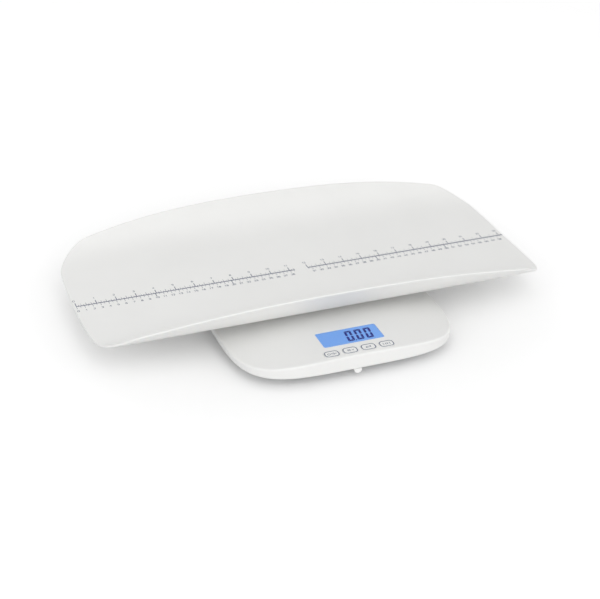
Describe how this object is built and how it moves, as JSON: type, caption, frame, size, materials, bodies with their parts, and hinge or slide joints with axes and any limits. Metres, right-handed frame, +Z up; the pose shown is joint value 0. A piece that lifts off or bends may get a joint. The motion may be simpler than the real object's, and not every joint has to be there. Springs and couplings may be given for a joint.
{
  "type": "digital baby weighing scale",
  "caption": "Baby weighing scale: a long open tray with raised rims, lifting off a low crowned base with a lit display, keys, load-cell feet and a tray lock.",
  "frame": {"origin": "middle of the part's box, on the floor plane under the feet", "axes": "+X along the tray, to the right as seen from the display side; +Y from the display to the back; +Z up"},
  "size_m": [0.595, 0.3496, 0.0833],
  "materials": {
    "white_shell": "smooth satin-gloss moulded ABS, warm white",
    "white_key": "smooth moulded ABS, same white as the casing",
    "grey_plastic": "fine matt moulded plastic",
    "clear_window": "clear flat window with a blue cast, lit from behind",
    "lcd_glass": "display glass, blue when lit",
    "light_guide": "blue light guide, emissive",
    "pcb": "green solder mask",
    "chip": "black moulded packages",
    "socket": "ivory nylon",
    "switch": "black with a small plunger",
    "black_rubber": "matt, slightly soft",
    "grey_rubber": "matt, slightly soft",
    "zinc_steel": "zinc-plated screws and contacts",
    "cell_steel": "stamped spring steel",
    "red_lead": "PVC insulation",
    "black_lead": "PVC insulation",
    "battery_skin": null
  },
  "bodies": {
    "base": {"top_cover": "white_shell", "bottom_cover": "grey_plastic", "casing_screws": "zinc_steel", "display_window": "clear_window", "display_glass": "lcd_glass", "display_backlight": "light_guide", "display_holder": "white_shell", "contact_strips": "grey_rubber", "main_board": "pcb", "board_chips": "chip", "board_sockets": "socket", "key_switches": "switch", "board_screws": "zinc_steel", "load_cell_front_left": "cell_steel", "load_cell_front_right": "cell_steel", "load_cell_back_left": "cell_steel", "load_cell_back_right": "cell_steel", "foot_front_left": "white_shell", "foot_front_right": "white_shell", "foot_back_left": "white_shell", "foot_back_right": "white_shell", "sole_front_left": "black_rubber", "sole_front_right": "black_rubber", "sole_back_left": "black_rubber", "sole_back_right": "black_rubber", "load_cell_screws": "zinc_steel", "cell_leads": "red_lead", "battery_well": "grey_plastic", "battery_well_screws": "zinc_steel", "battery_1": "battery_skin", "battery_2": "battery_skin", "battery_3": "battery_skin", "battery_4": "battery_skin", "battery_contacts": "zinc_steel", "battery_leads": "black_lead", "slider_keeper": "grey_plastic", "keeper_screws": "zinc_steel"},
    "tray": {"tray_shell": "white_shell", "tray_pads": "grey_rubber", "lock_hook": "white_shell", "hook_screws": "zinc_steel"},
    "battery_door": {"battery_door": "grey_plastic"},
    "lock_slider": {"lock_slider": "white_key"},
    "key_1": {"key_1": "white_key"},
    "key_2": {"key_2": "white_key"},
    "key_3": {"key_3": "white_key"},
    "key_4": {"key_4": "white_key"}
  },
  "joints": [
    {"name": "tray_lift", "type": "slide", "parent": "base", "child": "tray", "axis": [0, 0, 1], "range_m": [0, 0.12]},
    {"name": "lock_slide", "type": "slide", "parent": "base", "child": "lock_slider", "axis": [1, 0, 0], "range_m": [0, 0.013]},
    {"name": "battery_door_slide", "type": "slide", "parent": "base", "child": "battery_door", "axis": [0, 1, 0], "range_m": [0, 0.07]},
    {"name": "key_1_press", "type": "slide", "parent": "base", "child": "key_1", "axis": [0, 0, -1], "range_m": [0, 0.0005], "stiffness_N_per_m": 900, "springref_m": -0.0006},
    {"name": "key_2_press", "type": "slide", "parent": "base", "child": "key_2", "axis": [0, 0, -1], "range_m": [0, 0.0005], "stiffness_N_per_m": 900, "springref_m": -0.0006},
    {"name": "key_3_press", "type": "slide", "parent": "base", "child": "key_3", "axis": [0, 0, -1], "range_m": [0, 0.0005], "stiffness_N_per_m": 900, "springref_m": -0.0006},
    {"name": "key_4_press", "type": "slide", "parent": "base", "child": "key_4", "axis": [0, 0, -1], "range_m": [0, 0.0005], "stiffness_N_per_m": 900, "springref_m": -0.0006}
  ]
}
